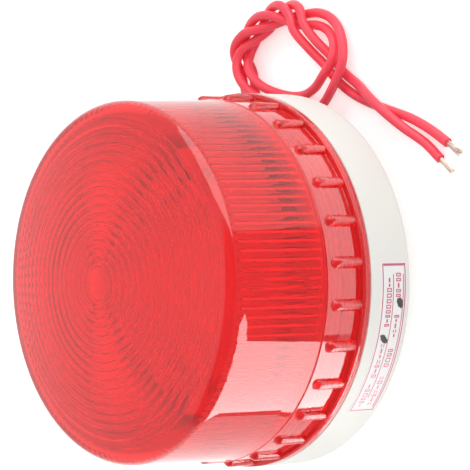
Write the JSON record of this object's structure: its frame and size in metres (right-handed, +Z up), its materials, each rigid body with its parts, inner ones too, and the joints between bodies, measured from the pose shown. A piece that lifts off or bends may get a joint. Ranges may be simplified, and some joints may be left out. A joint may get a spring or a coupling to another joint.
{
  "type": "flashing signal light",
  "caption": "Small round flashing beacon: a red fluted screw-on lens over a white base with a ring of lamps inside, fixed by studs and fed by two loose red wires.",
  "frame": {"origin": "centre of the base's flat mounting face, in the middle of the three studs", "axes": "+Z up along the axis of the lens, +X towards the side where the wires lie, +Y to the back; the label faces -Y, a little to the -X side"},
  "size_m": [0.0924, 0.0807, 0.0553],
  "materials": {
    "base_white": "smooth moulded plastic, soft gloss",
    "label_white": "coated sticker with a red frame",
    "stud_steel": "zinc plated",
    "grommet_rubber": "matt rubber",
    "seal_rubber": "milky silicone",
    "lens_red": "clear red moulded plastic, glossy outside",
    "board_white": "white solder mask",
    "screw_steel": "zinc plated",
    "led_clear": "clear epoxy",
    "capacitor_black": "shrink sleeve",
    "film_brown": "dipped epoxy",
    "chip_black": "moulded epoxy",
    "resistor_tan": "lacquered",
    "wire_red": "soft insulation, satin",
    "tip_copper": "tinned copper strands"
  },
  "bodies": {
    "base": {"base_housing": "base_white", "rating_label": "label_white", "mounting_studs": "stud_steel", "cable_grommet": "grommet_rubber", "circuit_board": "board_white", "board_screws": "screw_steel", "led_1": "led_clear", "led_2": "led_clear", "led_3": "led_clear", "led_4": "led_clear", "led_5": "led_clear", "led_6": "led_clear", "led_7": "led_clear", "led_8": "led_clear", "led_9": "led_clear", "led_10": "led_clear", "led_11": "led_clear", "led_12": "led_clear", "main_capacitor": "capacitor_black", "film_capacitor": "film_brown", "flasher_chip": "chip_black", "drive_transistor": "chip_black", "resistor_1": "resistor_tan", "resistor_2": "resistor_tan", "resistor_3": "resistor_tan", "resistor_4": "resistor_tan", "rectifier_diode_1": "chip_black", "rectifier_diode_2": "chip_black", "rectifier_diode_3": "chip_black", "rectifier_diode_4": "chip_black", "inner_lead_1": "wire_red", "inner_lead_2": "wire_red", "wire_1": "wire_red", "wire_2": "wire_red", "wire_tip_1": "tip_copper", "wire_tip_2": "tip_copper"},
    "seal": {"seal_ring": "seal_rubber"},
    "lens": {"lens": "lens_red"}
  },
  "joints": [
    {"name": "lens_lift", "type": "slide", "parent": "base", "child": "seal", "axis": [0, 0, 1], "range_m": [0, 0.006]},
    {"name": "lens_turn", "type": "hinge", "parent": "seal", "child": "lens", "pos_m": [0, 0, 0.0192], "axis": [0, 0, 1], "range_deg": [0, 720]}
  ],
  "couplings": [
    {"joint": "lens_lift", "follows": "lens_turn", "m_per_rad": 0.000477}
  ]
}
